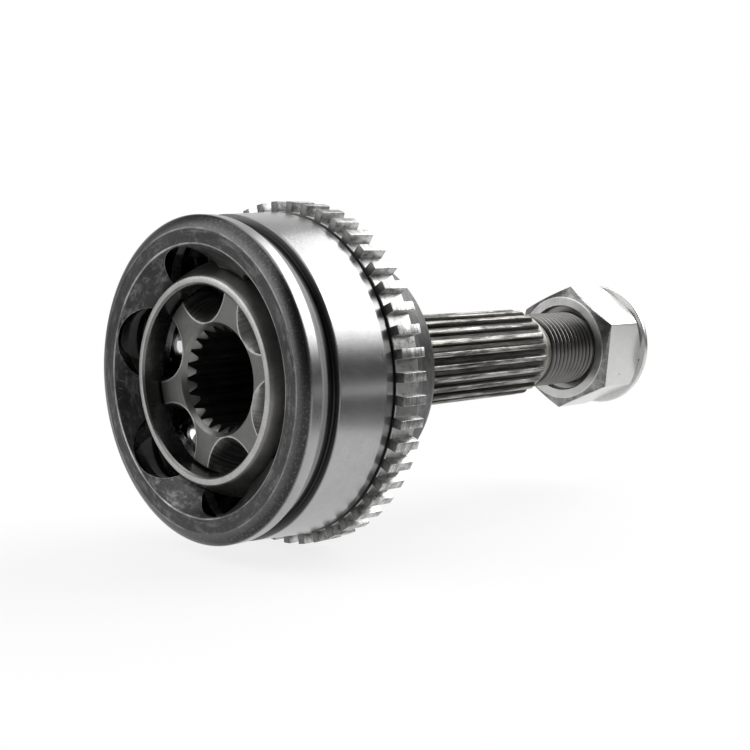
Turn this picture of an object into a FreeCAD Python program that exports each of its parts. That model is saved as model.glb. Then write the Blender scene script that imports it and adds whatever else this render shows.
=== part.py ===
import FreeCAD, Part
import math
import os

import Sketcher

# Outer constant-velocity joint of a driven front wheel, with its signal ring and hub nut.
# The joint's axis is X: the open mouth faces -X and the threaded stub points to +X.
# The origin is the joint's centre, where the plane of the six balls crosses the axis.

# Driving dimensions in millimetres and degrees
SIZES = {
    # ball set
    "ball_count": 6,
    "ball_rad": 8.75,
    "ball_pitch_rad": 30.0,
    "track_phase": 17.0,
    "track_side_room": 1.55,
    "track_shift": 0.75,
    "outer_track_offset": 3.0,
    "outer_track_turn_in": 25.0,
    "outer_track_turn_out": 75.0,
    "inner_track_turn": 52.0,
    # cage
    "cage_ball_rad": 33.0,
    "cage_inside_rad": 28.0,
    "cage_bore_rad": 25.1,
    "cage_front_x": -18.7,
    "cage_back_x": 14.5,
    "cage_edge": 0.5,
    "window_width": 17.8,
    "window_length": 20.6,
    "window_corner_rad": 3.5,
    # inner race
    "race_ball_rad": 27.8,
    "race_half_width": 13.5,
    "race_spline_root_rad": 14.2,
    "race_spline_tip_rad": 12.8,
    "race_gap_root_half": 0.25,
    "race_gap_bore_half": 2.05,
    "race_bore_mouth_rad": 15.2,
    "race_bore_mouth_depth": 3.4,
    # bell, from the mouth to the shoulder
    "bell_clearance": 0.2,
    "mouth_face_x": -21.0,
    "mouth_bore_rad": 35.8,
    "mouth_rim_rad": 39.8,
    "front_round_x": -19.9,
    "front_round_rad": 42.3,
    "front_land_x": -19.0,
    "front_land_rad": 43.2,
    "front_land_end_x": -15.5,
    "boot_groove_x": -13.0,
    "boot_groove_end_x": -10.1,
    "boot_groove_rad": 41.4,
    "main_land_x": -9.7,
    "main_land_front_rad": 43.3,
    "main_land_rad": 44.1,
    "main_chamfer_x": 5.6,
    "main_end_x": 8.6,
    "main_end_rad": 43.7,
    "ring_seat_rad": 41.4,
    "ring_seat_end_x": 18.6,
    "back_cone_x": 29.0,
    "back_cone_rad": 34.6,
    "shoulder_round_x": 35.6,
    "shoulder_round_rad": 32.2,
    "shoulder_x": 38.0,
    "shoulder_rad": 30.6,
    "cavity_floor_x": 27.2,
    "mouth_flare_end_rad": 20.0,
    # stub shaft
    "stub_collar_rad": 15.6,
    "stub_root_rad": 19.5,
    "stub_root_x": 38.6,
    "stub_collar_x": 44.0,
    "spline_relief_rad": 12.4,
    "spline_relief_x": 47.0,
    "spline_tooth_count": 22,
    "spline_phase": 4.5,
    "spline_tip_rad": 13.8,
    "spline_root_rad": 12.45,
    "spline_gap_root_half": 0.6,
    "spline_gap_tip_half": 1.78,
    "spline_end_x": 110.6,
    "thread_neck_x": 114.4,
    "thread_x": 115.2,
    "thread_rad": 12.0,
    "thread_root_rad": 10.8,
    "thread_pitch": 2.0,
    "thread_groove_count": 20,
    "thread_groove_half": 0.87,
    "stub_end_x": 155.0,
    "stub_end_chamfer": 1.2,
    # signal ring
    "ring_front_x": 8.9,
    "ring_back_x": 17.2,
    "ring_tooth_count": 48,
    "ring_tip_rad": 47.0,
    "ring_root_rad": 44.3,
    "ring_tooth_phase": 1.1,
    "ring_gap_half_root": 1.62,
    "ring_gap_half_tip": 1.92,
    # hub nut
    "nut_front_x": 134.8,
    "nut_hexagon_end_x": 155.3,
    "nut_back_x": 156.9,
    "nut_across_flats": 36.0,
    "nut_phase": 36.0,
    "nut_corner_rad": 20.9,
    "nut_front_face_rad": 17.0,
    "nut_front_chamfer": 2.5,
    "nut_far_face_rad": 18.0,
    "nut_far_chamfer": 3.8,
    "nut_collar_rad": 20.2,
    "nut_collar_edge": 0.3,
    "nut_recess_rad": 14.0,
    "nut_recess_depth": 2.6,
    "nut_bore_rad": 11.3,
    "nut_bore_bevel": 0.8,
    "nut_thread_root_rad": 12.3,
    "nut_groove_half": 0.75,
    "nut_groove_root_half": 0.22,
    "nut_groove_count": 10,
}

SQUARE = 90
FULL_TURN = 360
HEXAGON_SIDES = 6
X_AXIS = FreeCAD.Vector(1, 0, 0)
Y_AXIS = FreeCAD.Vector(0, 1, 0)
Z_AXIS = FreeCAD.Vector(0, 0, 1)
CENTRE = FreeCAD.Vector(0, 0, 0)
# An edge whose direction has more than this share along Z stands upright
UPRIGHT = 0.99
# Cutters run this far past the solid that they cut, in millimetres
OVERRUN = 1

doc = FreeCAD.newDocument("cv_joint")
sheet = doc.addObject("Spreadsheet::Sheet", "Sheet")
for row, (alias, amount) in enumerate(SIZES.items(), start=1):
    sheet.set(f"A{row}", alias)
    sheet.set(f"B{row}", str(amount))
    sheet.setAlias(f"B{row}", alias)
doc.recompute()


def amount_of(expression):
    """Return the number that an expression on the sheet gives now."""
    found = sheet.evalExpression(expression)
    return float(getattr(found, "Value", found))


def cell(alias):
    """Return the expression that reads one cell of the sheet."""
    return f"Sheet.{alias}"


def bind(thing, **expressions):
    """Bind properties of an object to expressions on the sheet."""
    for name, expression in expressions.items():
        thing.setExpression(name, expression)
    return thing


def origin_item(body, role):
    """Return one of a body's own origin planes or axes."""
    return next(item for item in body.Origin.OriginFeatures if item.Role == role)


def outline_sketch(body, name, plane_role, corners, offset_x=None):
    """Sketch a closed outline whose corners are pairs of expressions."""
    sketch = body.newObject("Sketcher::SketchObject", name)
    sketch.AttachmentSupport = [(origin_item(body, plane_role), "")]
    sketch.MapMode = "FlatFace"
    if offset_x is not None:
        bind(sketch, **{".AttachmentOffset.Base.z": offset_x})
    places = [FreeCAD.Vector(amount_of(a), amount_of(b), 0) for a, b in corners]
    for index, place in enumerate(places):
        following = places[(index + 1) % len(places)]
        sketch.addGeometry(Part.LineSegment(place, following), False)
    for index, (first, second) in enumerate(corners):
        before = (index - 1) % len(corners)
        sketch.addConstraint(Sketcher.Constraint("Coincident", before, 2, index, 1))
        pairs = (("DistanceX", first, places[index].x), ("DistanceY", second, places[index].y))
        for kind, expression, start in pairs:
            number = sketch.addConstraint(Sketcher.Constraint(kind, -1, 1, index, 1, start))
            if "Sheet" in expression:
                sketch.setExpression(f"Constraints[{number}]", expression)
    return sketch


def turned_feature(body, kind, name, sketch):
    """Turn a sketch of the XZ plane about the joint's axis."""
    feature = body.newObject(kind, name)
    feature.Profile = sketch
    feature.ReferenceAxis = (sketch, ["H_Axis"])
    feature.Angle = FULL_TURN
    body.Tip = feature
    return feature


def around_axis(body, name, feature, count):
    """Repeat a feature of a body round the joint's axis."""
    pattern = body.newObject("PartDesign::PolarPattern", name)
    pattern.Originals = [feature]
    pattern.Axis = (origin_item(body, "X_Axis"), [""])
    pattern.Angle = FULL_TURN
    bind(pattern, Occurrences=count)
    body.Tip = pattern
    return pattern


def along_axis(body, name, feature, count, pitch):
    """Repeat a feature of a body along the joint's axis."""
    pattern = body.newObject("PartDesign::LinearPattern", name)
    pattern.Originals = [feature]
    pattern.Direction = (origin_item(body, "X_Axis"), [""])
    bind(pattern, Length=f"({count} - 1) * {pitch}", Occurrences=count)
    body.Tip = pattern
    return pattern


def gap_pocket(body, name, corners, start, length):
    """Cut one gap that runs along the axis from start towards +X."""
    sketch = outline_sketch(body, f"{name}_sketch", "YZ_Plane", corners, offset_x=start)
    pocket = body.newObject("PartDesign::Pocket", name)
    pocket.Profile = sketch
    pocket.Reversed = True
    bind(pocket, Length=length)
    body.Tip = pocket
    return pocket


def spline_placement():
    """Return the placement that turns a splined body so that its teeth stand right."""
    return FreeCAD.Placement(CENTRE, FreeCAD.Rotation(X_AXIS, SIZES["spline_phase"]))


def track_turn(index):
    """Return the rotation about X that brings the +Y direction to one ball."""
    pitch = FULL_TURN / SIZES["ball_count"]
    return FreeCAD.Rotation(X_AXIS, SIZES["track_phase"] + index * pitch)


def make_ball_piece(index):
    """Make one steel ball in its window."""
    ball = doc.addObject("Part::Sphere", f"ball_{index + 1}")
    bind(ball, Radius=cell("ball_rad"))
    reach = FreeCAD.Vector(0, SIZES["ball_pitch_rad"], 0)
    ball.Placement = FreeCAD.Placement(track_turn(index).multVec(reach), track_turn(index))
    return ball


def arc_tube(name, ring_rad, from_turn, to_turn, centre_x, index):
    """Make a bent round tube in one ball's plane; turns count from the ball plane to +X."""
    tube = doc.addObject("Part::Torus", name)
    bind(tube, Radius1=ring_rad, Radius2="Sheet.ball_rad + Sheet.track_side_room")
    tube.Angle3 = to_turn - from_turn
    # A torus starts at X and turns about Z, so it is set back before it goes to its ball
    start = FreeCAD.Rotation(Z_AXIS, SQUARE - to_turn)
    middle = FreeCAD.Vector(centre_x, 0, 0)
    tube.Placement = FreeCAD.Placement(middle, track_turn(index).multiply(start))
    return tube


def track_end(name, ring_rad, turn, index):
    """Make the round blind end of a track."""
    end = doc.addObject("Part::Sphere", name)
    bind(end, Radius="Sheet.ball_rad + Sheet.track_side_room")
    sway = math.radians(turn)
    distance = amount_of(ring_rad)
    local = FreeCAD.Vector(distance * math.sin(sway), distance * math.cos(sway), 0)
    end.Placement = FreeCAD.Placement(track_turn(index).multVec(local), track_turn(index))
    return end


def fuse_all(name, shapes):
    """Fuse several shapes into one."""
    whole = doc.addObject("Part::MultiFuse", name)
    whole.Shapes = shapes
    return whole


def cut(name, base, tool):
    """Cut one shape from another."""
    result = doc.addObject("Part::Cut", name)
    result.Base = base
    result.Tool = tool
    return result


def sphere_at_centre(name, radius):
    """Make a sphere about the joint's centre."""
    return bind(doc.addObject("Part::Sphere", name), Radius=radius)


def disc_along_x(name, radius, start, end):
    """Make a cylinder along the joint's axis between two places on it."""
    disc = doc.addObject("Part::Cylinder", name)
    bind(disc, Radius=radius, Height=f"({end}) - ({start})")
    disc.Placement = FreeCAD.Placement(CENTRE, FreeCAD.Rotation(Y_AXIS, SQUARE))
    bind(disc, **{".Placement.Base.x": start})
    return disc


def cone_along_x(name, start_rad, end_rad, start, end):
    """Make a cone along the joint's axis between two places on it."""
    cone = doc.addObject("Part::Cone", name)
    bind(cone, Radius1=start_rad, Radius2=end_rad, Height=f"({end}) - ({start})")
    cone.Placement = FreeCAD.Placement(CENTRE, FreeCAD.Rotation(Y_AXIS, SQUARE))
    bind(cone, **{".Placement.Base.x": start})
    return cone


def outer_track_cutters():
    """Make the six ball tracks of the bell, deeper towards its mouth, with blind ends."""
    ring_rad = "Sheet.ball_pitch_rad - Sheet.track_shift"
    turn_in = SIZES["outer_track_turn_in"]
    turn_out = -SIZES["outer_track_turn_out"]
    shapes = []
    for index in range(SIZES["ball_count"]):
        shapes.append(arc_tube(f"outer_track_{index}", ring_rad, turn_out, turn_in, 0, index))
        offset = -SIZES["outer_track_offset"]
        shapes.append(arc_tube(f"mouth_track_{index}", ring_rad, turn_out, 0, offset, index))
        shapes.append(track_end(f"outer_track_end_{index}", ring_rad, turn_in, index))
    return fuse_all("outer_tracks", shapes)


def stub_profile():
    """Return the corners of the forging's outline from its mouth to the stub's end."""
    profile = [
        ("mouth_face_x", "mouth_rim_rad"),
        ("front_round_x", "front_round_rad"),
        ("front_land_x", "front_land_rad"),
        ("front_land_end_x", "front_land_rad"),
        ("boot_groove_x", "boot_groove_rad"),
        ("boot_groove_end_x", "boot_groove_rad"),
        ("main_land_x", "main_land_front_rad"),
        ("main_chamfer_x", "main_land_rad"),
        ("main_end_x", "main_end_rad"),
        ("main_end_x", "ring_seat_rad"),
        ("ring_seat_end_x", "ring_seat_rad"),
        ("back_cone_x", "back_cone_rad"),
        ("shoulder_round_x", "shoulder_round_rad"),
        ("shoulder_x", "shoulder_rad"),
        ("shoulder_x", "stub_root_rad"),
        ("stub_root_x", "stub_root_rad"),
        ("stub_root_x", "stub_collar_rad"),
        ("stub_collar_x", "stub_collar_rad"),
        ("stub_collar_x", "spline_relief_rad"),
        ("spline_relief_x", "spline_relief_rad"),
        ("spline_relief_x", "spline_tip_rad"),
        ("spline_end_x", "spline_tip_rad"),
        ("thread_neck_x", "thread_root_rad"),
        ("thread_x", "thread_root_rad"),
        ("thread_x", "thread_rad"),
    ]
    return [(cell(x), cell(rad)) for x, rad in profile]


def make_outer_race():
    """Make the bell with its tracks, splines and thread: one forging."""
    body = doc.addObject("PartDesign::Body", "forging")
    end_x = cell("stub_end_x")
    chamfer = cell("stub_end_chamfer")
    corners = [(cell("mouth_face_x"), "0")]
    corners += stub_profile()
    corners += [
        (f"{end_x} - {chamfer}", cell("thread_rad")),
        (end_x, f"Sheet.thread_rad - {chamfer}"),
        (end_x, "0"),
    ]
    sketch = outline_sketch(body, "forging_sketch", "XZ_Plane", corners)
    turned_feature(body, "PartDesign::Revolution", "forging_turned", sketch)

    # Spline gaps: narrow at the root, wide at the tips
    root = cell("spline_root_rad")
    tip = f"{cell('spline_tip_rad')} + {OVERRUN}"
    root_half = cell("spline_gap_root_half")
    tip_half = cell("spline_gap_tip_half")
    gap = [(f"-{root_half}", root), (root_half, root), (tip_half, tip), (f"-{tip_half}", tip)]
    relief = cell("spline_relief_x")
    length = f"{cell('thread_neck_x')} - {relief} + 2 * {OVERRUN}"
    pocket = gap_pocket(body, "spline_gap", gap, f"{relief} - {OVERRUN}", length)
    around_axis(body, "spline_gaps", pocket, cell("spline_tooth_count"))
    body.Placement = spline_placement()

    # Thread as level rings of the right pitch
    first = f"{cell('thread_x')} + {cell('thread_pitch')} / 2"
    half = cell("thread_groove_half")
    groove = [
        (f"{first} - {half}", cell("thread_rad")),
        (first, cell("thread_root_rad")),
        (f"{first} + {half}", cell("thread_rad")),
        (f"{first} + {half}", f"{cell('thread_rad')} + {OVERRUN}"),
        (f"{first} - {half}", f"{cell('thread_rad')} + {OVERRUN}"),
    ]
    sketch = outline_sketch(body, "thread_sketch", "XZ_Plane", groove)
    ring = turned_feature(body, "PartDesign::Groove", "thread_groove", sketch)
    along_axis(body, "thread_grooves", ring, cell("thread_groove_count"), cell("thread_pitch"))

    # Cavity: a ball seat, a flared mouth and the six tracks
    radius = cell("main_land_rad")
    seat = sphere_at_centre("bell_seat", "Sheet.cage_ball_rad + Sheet.bell_clearance")
    floor = disc_along_x("bell_floor", radius, f"-{radius}", cell("cavity_floor_x"))
    hollow = doc.addObject("Part::Common", "bell_hollow")
    hollow.Base = seat
    hollow.Tool = floor
    mouth = cell("mouth_bore_rad")
    flare_end = cell("mouth_flare_end_rad")
    face = cell("mouth_face_x")
    # The flare is as deep as it narrows, so its side stands at half a right angle
    flare = cone_along_x(
        "bell_flare",
        f"{mouth} + {OVERRUN}",
        flare_end,
        f"{face} - {OVERRUN}",
        f"{face} + {mouth} - {flare_end}",
    )
    cavity = fuse_all("bell_cavity", [hollow, flare, outer_track_cutters()])
    return cut("outer_race", body, cavity)


def make_abs_ring():
    """Make the toothed signal ring pressed on the bell behind its main land."""
    body = doc.addObject("PartDesign::Body", "abs_ring")
    front = cell("ring_front_x")
    back = cell("ring_back_x")
    corners = [
        (front, cell("ring_seat_rad")),
        (front, cell("ring_tip_rad")),
        (back, cell("ring_tip_rad")),
        (back, cell("ring_seat_rad")),
    ]
    sketch = outline_sketch(body, "ring_sketch", "XZ_Plane", corners)
    turned_feature(body, "PartDesign::Revolution", "ring_turned", sketch)
    root = cell("ring_root_rad")
    top = f"{cell('ring_tip_rad')} + {OVERRUN}"
    root_half = cell("ring_gap_half_root")
    tip_half = cell("ring_gap_half_tip")
    gap = [(f"-{root_half}", root), (root_half, root), (tip_half, top), (f"-{tip_half}", top)]
    length = f"{back} - {front} + 2 * {OVERRUN}"
    pocket = gap_pocket(body, "ring_gap", gap, f"{front} - {OVERRUN}", length)
    around_axis(body, "ring_gaps", pocket, cell("ring_tooth_count"))
    turn = FreeCAD.Rotation(X_AXIS, SIZES["ring_tooth_phase"])
    body.Placement = FreeCAD.Placement(CENTRE, turn)
    return body


def make_cage():
    """Make the ball cage: a spherical sleeve with six rounded windows."""
    outside = sphere_at_centre("cage_outside", cell("cage_ball_rad"))
    front = cell("cage_front_x")
    back = cell("cage_back_x")
    band = disc_along_x("cage_band", cell("main_land_rad"), front, back)
    blank = doc.addObject("Part::Common", "cage_blank")
    blank.Base = outside
    blank.Tool = band
    inside = sphere_at_centre("cage_inside", cell("cage_inside_rad"))
    radius = cell("cage_bore_rad")
    bore = disc_along_x("cage_bore", radius, f"{front} - {OVERRUN}", f"{back} + {OVERRUN}")
    edge = cell("cage_edge")
    bevel = cone_along_x(
        "cage_bevel",
        f"{radius} + {edge} + {OVERRUN}",
        radius,
        f"{front} - {OVERRUN}",
        f"{front} + {edge}",
    )
    tools = [inside, bore, bevel]
    for index in range(SIZES["ball_count"]):
        tools.append(make_window(index))
    return cut("cage", blank, fuse_all("cage_openings", tools))


def make_window(index):
    """Make the cutter of one cage window, with round corners."""
    block = doc.addObject("Part::Box", f"window_block_{index}")
    bind(block, Length=cell("window_width"), Width=cell("window_length"), Height="Sheet.ball_pitch_rad")
    doc.recompute()
    corner = SIZES["window_corner_rad"]
    edges = []
    for number, edge in enumerate(block.Shape.Edges, start=1):
        if abs(edge.tangentAt(edge.FirstParameter).z) > UPRIGHT:
            edges.append((number, corner, corner))
    window = doc.addObject("Part::Fillet", f"window_{index}")
    window.Base = block
    window.Edges = edges
    half_width = SIZES["window_width"] / 2
    half_length = SIZES["window_length"] / 2
    # The block's height points outwards, along the ball's own direction
    lift = FreeCAD.Rotation(X_AXIS, -SQUARE)
    turn = track_turn(index).multiply(lift)
    local = FreeCAD.Vector(-half_width, -half_length, SIZES["ball_pitch_rad"] / 2)
    window.Placement = FreeCAD.Placement(turn.multVec(local), turn)
    return window


def make_inner_race():
    """Make the inner race with its six tracks and splined bore."""
    body = doc.addObject("PartDesign::Body", "race_core")
    half = cell("race_half_width")
    tip = cell("race_spline_tip_rad")
    mouth = cell("race_bore_mouth_rad")
    depth = cell("race_bore_mouth_depth")
    outside = f"{cell('race_ball_rad')} + {OVERRUN}"
    corners = [
        (f"-{half}", mouth),
        (f"-{half}", outside),
        (half, outside),
        (half, mouth),
        (f"{half} - {depth}", tip),
        (f"{depth} - {half}", tip),
    ]
    sketch = outline_sketch(body, "race_sketch", "XZ_Plane", corners)
    turned_feature(body, "PartDesign::Revolution", "race_turned", sketch)

    # Gaps between the bore's teeth: wide at the bore, narrow at the root
    bore = f"{tip} - {OVERRUN}"
    root = cell("race_spline_root_rad")
    bore_half = cell("race_gap_bore_half")
    root_half = cell("race_gap_root_half")
    gap = [(f"-{bore_half}", bore), (bore_half, bore), (root_half, root), (f"-{root_half}", root)]
    length = f"2 * ({half} + {OVERRUN})"
    pocket = gap_pocket(body, "bore_gap", gap, f"-{half} - {OVERRUN}", length)
    around_axis(body, "bore_gaps", pocket, cell("spline_tooth_count"))
    body.Placement = spline_placement()

    ball = doc.addObject("Part::Common", "race_blank")
    ball.Base = body
    ball.Tool = sphere_at_centre("race_outside", cell("race_ball_rad"))
    ring_rad = "Sheet.ball_pitch_rad + Sheet.track_shift"
    turn = SIZES["inner_track_turn"]
    tracks = []
    for index in range(SIZES["ball_count"]):
        tracks.append(arc_tube(f"inner_track_{index}", ring_rad, -turn, turn, 0, index))
    return cut("inner_race", ball, fuse_all("inner_tracks", tracks))


def hexagon_corners(across_flats):
    """Return the corners of a hexagon as pairs of expressions."""
    corners = []
    sector = 2 * math.pi / HEXAGON_SIDES
    reach = 1 / (2 * math.cos(sector / 2))
    for index in range(HEXAGON_SIDES):
        turn = sector * index
        along = round(reach * math.cos(turn), 6)
        up = round(reach * math.sin(turn), 6)
        corners.append((f"{across_flats} * {along}", f"{across_flats} * {up}"))
    return corners


def make_hub_nut():
    """Make the hexagonal hub nut with its chamfers, round collar, recess and inner thread."""
    body = doc.addObject("PartDesign::Body", "hub_nut")
    front = cell("nut_front_x")
    hexagon_end = cell("nut_hexagon_end_x")
    back = cell("nut_back_x")
    hexagon = outline_sketch(
        body, "nut_sketch", "YZ_Plane", hexagon_corners(cell("nut_across_flats")), offset_x=front
    )
    pad = body.newObject("PartDesign::Pad", "nut_block")
    pad.Profile = hexagon
    bind(pad, Length=f"{hexagon_end} - {front}")
    body.Tip = pad

    # The corners are chamfered at both ends
    reach = "Sheet.nut_across_flats"
    corner = cell("nut_corner_rad")
    ends = [
        ("front", front, f"{front} + {cell('nut_front_chamfer')}"),
        ("far", hexagon_end, f"{hexagon_end} - {cell('nut_far_chamfer')}"),
    ]
    for side, end, inner in ends:
        face = cell(f"nut_{side}_face_rad")
        corners = [(end, face), (inner, corner), (inner, reach), (end, reach)]
        sketch = outline_sketch(body, f"nut_{side}_sketch", "XZ_Plane", corners)
        turned_feature(body, "PartDesign::Groove", f"nut_{side}_chamfer", sketch)

    # A round collar closes the far end
    collar = cell("nut_collar_rad")
    edge = cell("nut_collar_edge")
    corners = [
        (hexagon_end, "0"),
        (hexagon_end, f"{collar} - {edge}"),
        (f"{hexagon_end} + {edge}", collar),
        (f"{back} - {edge}", collar),
        (back, f"{collar} - {edge}"),
        (back, "0"),
    ]
    sketch = outline_sketch(body, "nut_collar_sketch", "XZ_Plane", corners)
    turned_feature(body, "PartDesign::Revolution", "nut_collar", sketch)

    bore = cell("nut_bore_rad")
    bevel = cell("nut_bore_bevel")
    recess = cell("nut_recess_rad")
    recess_floor = f"{front} + {cell('nut_recess_depth')}"
    corners = [
        (f"{front} - {OVERRUN}", "0"),
        (f"{front} - {OVERRUN}", recess),
        (recess_floor, recess),
        (recess_floor, bore),
        (f"{back} - {bevel}", bore),
        (back, f"{bore} + {bevel}"),
        (f"{back} + {OVERRUN}", f"{bore} + {bevel}"),
        (f"{back} + {OVERRUN}", "0"),
    ]
    sketch = outline_sketch(body, "nut_bore_sketch", "XZ_Plane", corners)
    turned_feature(body, "PartDesign::Groove", "nut_bore", sketch)

    # The nut's thread lies in the stub's thread, ring by ring, from the recess floor on
    pitch = cell("thread_pitch")
    into_thread = SIZES["nut_front_x"] + SIZES["nut_recess_depth"] - SIZES["thread_x"]
    steps = math.floor(into_thread / SIZES["thread_pitch"])
    first = f"{cell('thread_x')} + {pitch} * {steps}"
    wide = cell("nut_groove_half")
    narrow = cell("nut_groove_root_half")
    root = cell("nut_thread_root_rad")
    groove = [
        (f"{first} - {wide}", bore),
        (f"{first} - {narrow}", root),
        (f"{first} + {narrow}", root),
        (f"{first} + {wide}", bore),
        (f"{first} + {wide}", f"{bore} - {OVERRUN}"),
        (f"{first} - {wide}", f"{bore} - {OVERRUN}"),
    ]
    sketch = outline_sketch(body, "nut_thread_sketch", "XZ_Plane", groove)
    ring = turned_feature(body, "PartDesign::Groove", "nut_thread_groove", sketch)
    along_axis(body, "nut_thread", ring, cell("nut_groove_count"), pitch)
    body.Placement = FreeCAD.Placement(CENTRE, FreeCAD.Rotation(X_AXIS, SIZES["nut_phase"]))
    return body


def check_document():
    """Stop if any object of the document failed."""
    for thing in doc.Objects:
        if "Invalid" in thing.State or "Error" in thing.State:
            raise RuntimeError(f"{thing.Name} failed: {thing.State}")


def write_pieces(pieces):
    """Check each piece and write it to its own file."""
    os.makedirs("parts", exist_ok=True)
    for label, piece in pieces.items():
        piece.Label = label
        shape = piece.Shape
        if shape.isNull() or not shape.isValid() or len(shape.Solids) != 1:
            raise RuntimeError(f"{label} is not one valid solid")
        print(f"{label}: {shape.Volume:.1f} mm3")
        shape.exportStep(f"parts/{label}.step")


pieces = {
    "outer_race": make_outer_race(),
    "abs_ring": make_abs_ring(),
    "cage": make_cage(),
    "inner_race": make_inner_race(),
    "hub_nut": make_hub_nut(),
}
for number in range(SIZES["ball_count"]):
    pieces[f"ball_{number + 1}"] = make_ball_piece(number)
doc.recompute()
check_document()
write_pieces(pieces)
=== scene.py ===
"""Looks of an outer constant-velocity joint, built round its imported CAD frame.

The joint's axis is X, its open mouth faces -X and its threaded stub points to +X.
The joint's classes hold millimetres and degrees; meshes and the studio are in metres.
"""

import logging
import math
from collections.abc import Callable, Iterator, Sequence
from contextlib import contextmanager
from dataclasses import dataclass, field
from enum import Enum
from functools import partialmethod

import bmesh
import bpy
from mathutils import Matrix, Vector


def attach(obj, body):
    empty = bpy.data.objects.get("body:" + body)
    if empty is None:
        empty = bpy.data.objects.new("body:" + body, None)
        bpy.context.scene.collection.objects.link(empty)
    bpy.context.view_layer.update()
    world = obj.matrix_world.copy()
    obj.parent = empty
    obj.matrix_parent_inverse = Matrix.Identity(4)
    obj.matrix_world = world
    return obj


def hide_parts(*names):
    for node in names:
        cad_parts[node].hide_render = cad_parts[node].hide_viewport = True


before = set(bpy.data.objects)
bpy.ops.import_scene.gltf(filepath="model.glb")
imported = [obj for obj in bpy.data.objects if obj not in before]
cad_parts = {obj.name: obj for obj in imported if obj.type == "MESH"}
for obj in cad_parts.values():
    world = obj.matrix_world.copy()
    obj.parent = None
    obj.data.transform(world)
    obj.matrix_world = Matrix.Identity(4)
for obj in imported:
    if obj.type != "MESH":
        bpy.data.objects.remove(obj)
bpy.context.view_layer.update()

MM = 0.001
FULL_TURN = 2 * math.pi
QUARTER = math.pi / 2
AXIS = (1, 0, 0)
CENTRE = (0, 0, 0)

# WELD merges points, runs over LONG_RUN get further corners HOLD from their ends, and NEAR is
# the slack in picking points by place. The angles tell which edges of a piece count as sharp.
WELD = 0.004 * MM
LONG_RUN = 2.0
HOLD = 0.45
NEAR = 0.1
CUT_ANGLE = 38
TOOTH_ANGLE = 40

LOG = logging.getLogger("cv_joint")

Outline = list[tuple[float, float]]
Colour = tuple[float, float, float]
Thing = bpy.types.Object


def grey(level: float) -> Colour:
    """Return a neutral colour."""
    return (level, level, level)


class Body(Enum):
    """The moving bodies that pieces ride on."""

    BELL = "bell"
    CAGE = "ball_cage"
    RACE = "inner_race"
    NUT = "hub_nut"


class Slot(Enum):
    """The record's material slots."""

    FORGING = "forged_steel"
    RING = "signal_ring_steel"
    CAGE = "cage_steel"
    RACE = "race_steel"
    BALL = "ball_steel"
    NUT = "nut_steel"


class CutMode(Enum):
    """How a tool acts on a piece."""

    REMOVE = "DIFFERENCE"
    KEEP_COMMON = "INTERSECT"


def unselect_all() -> None:
    """Leave nothing selected."""
    bpy.ops.object.select_all(action="DESELECT")


def make_active(piece: Thing) -> None:
    """Select one object alone and make it active.

    Args:
        piece: the object.
    """
    unselect_all()
    piece.select_set(True)
    bpy.context.view_layer.objects.active = piece


def newest(name: str) -> Thing:
    """Name the primitive that was just added and return it.

    Args:
        name: the new object's name.

    Returns:
        The object.
    """
    piece = bpy.context.view_layer.objects.active
    piece.name = name
    piece.data.name = name
    return piece


@contextmanager
def editing(piece: Thing, whole: bool = False) -> Iterator[None]:
    """Edit one object's mesh.

    Args:
        piece: the mesh object to edit.
        whole: whether its whole mesh starts selected, or nothing of it.
    """
    make_active(piece)
    bpy.ops.object.mode_set(mode="EDIT")
    bpy.ops.mesh.select_mode(type="VERT")
    bpy.ops.mesh.select_all(action="SELECT" if whole else "DESELECT")
    yield
    bpy.ops.object.mode_set(mode="OBJECT")


def select_points(piece: Thing, test: Callable[[Vector], bool]) -> None:
    """Select the points of a mesh in edit mode, and what lies between them.

    Args:
        piece: the object in edit mode.
        test: says of a point's place whether it is wanted.
    """
    mesh = bmesh.from_edit_mesh(piece.data)
    for point in mesh.verts:
        point.select_set(bool(test(point.co)))
    mesh.select_flush(True)
    bmesh.update_edit_mesh(piece.data)


def select_edges(piece: Thing, test: Callable[[Vector, Vector], bool]) -> None:
    """Select the edges of a mesh in edit mode.

    Args:
        piece: the object in edit mode.
        test: says of an edge's two ends whether it is wanted.
    """
    bpy.ops.mesh.select_mode(type="EDGE")
    bpy.ops.mesh.select_all(action="DESELECT")
    mesh = bmesh.from_edit_mesh(piece.data)
    for edge in mesh.edges:
        edge.select_set(bool(test(edge.verts[0].co, edge.verts[1].co)))
    mesh.select_flush_mode()
    bmesh.update_edit_mesh(piece.data)


def face_outwards() -> None:
    """Point all faces of the mesh in edit mode outwards."""
    bpy.ops.mesh.select_all(action="SELECT")
    bpy.ops.mesh.normals_make_consistent(inside=False)


def modify(piece: Thing, kind: str, **settings: object) -> None:
    """Apply a modifier with the given settings to a piece.

    Args:
        piece: the piece to change.
        kind: the modifier's type.
        settings: what is set on it.
    """
    make_active(piece)
    bpy.ops.object.modifier_add(type=kind)
    modifier = piece.modifiers[-1]
    for name, setting in settings.items():
        setattr(modifier, name, setting)
    bpy.ops.object.modifier_apply(modifier=modifier.name)


def settle(piece: Thing) -> Thing:
    """Put an object's place, turn and size into its mesh.

    Args:
        piece: the object.

    Returns:
        The same object, unturned and at the origin.
    """
    make_active(piece)
    bpy.ops.object.transform_apply(location=True, rotation=True, scale=True)
    return piece


def turn_about_axis(piece: Thing, degrees: float) -> Thing:
    """Turn a piece about the joint's axis, from +Y towards +Z."""
    piece.rotation_euler.x = math.radians(degrees)
    return settle(piece)


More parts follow.
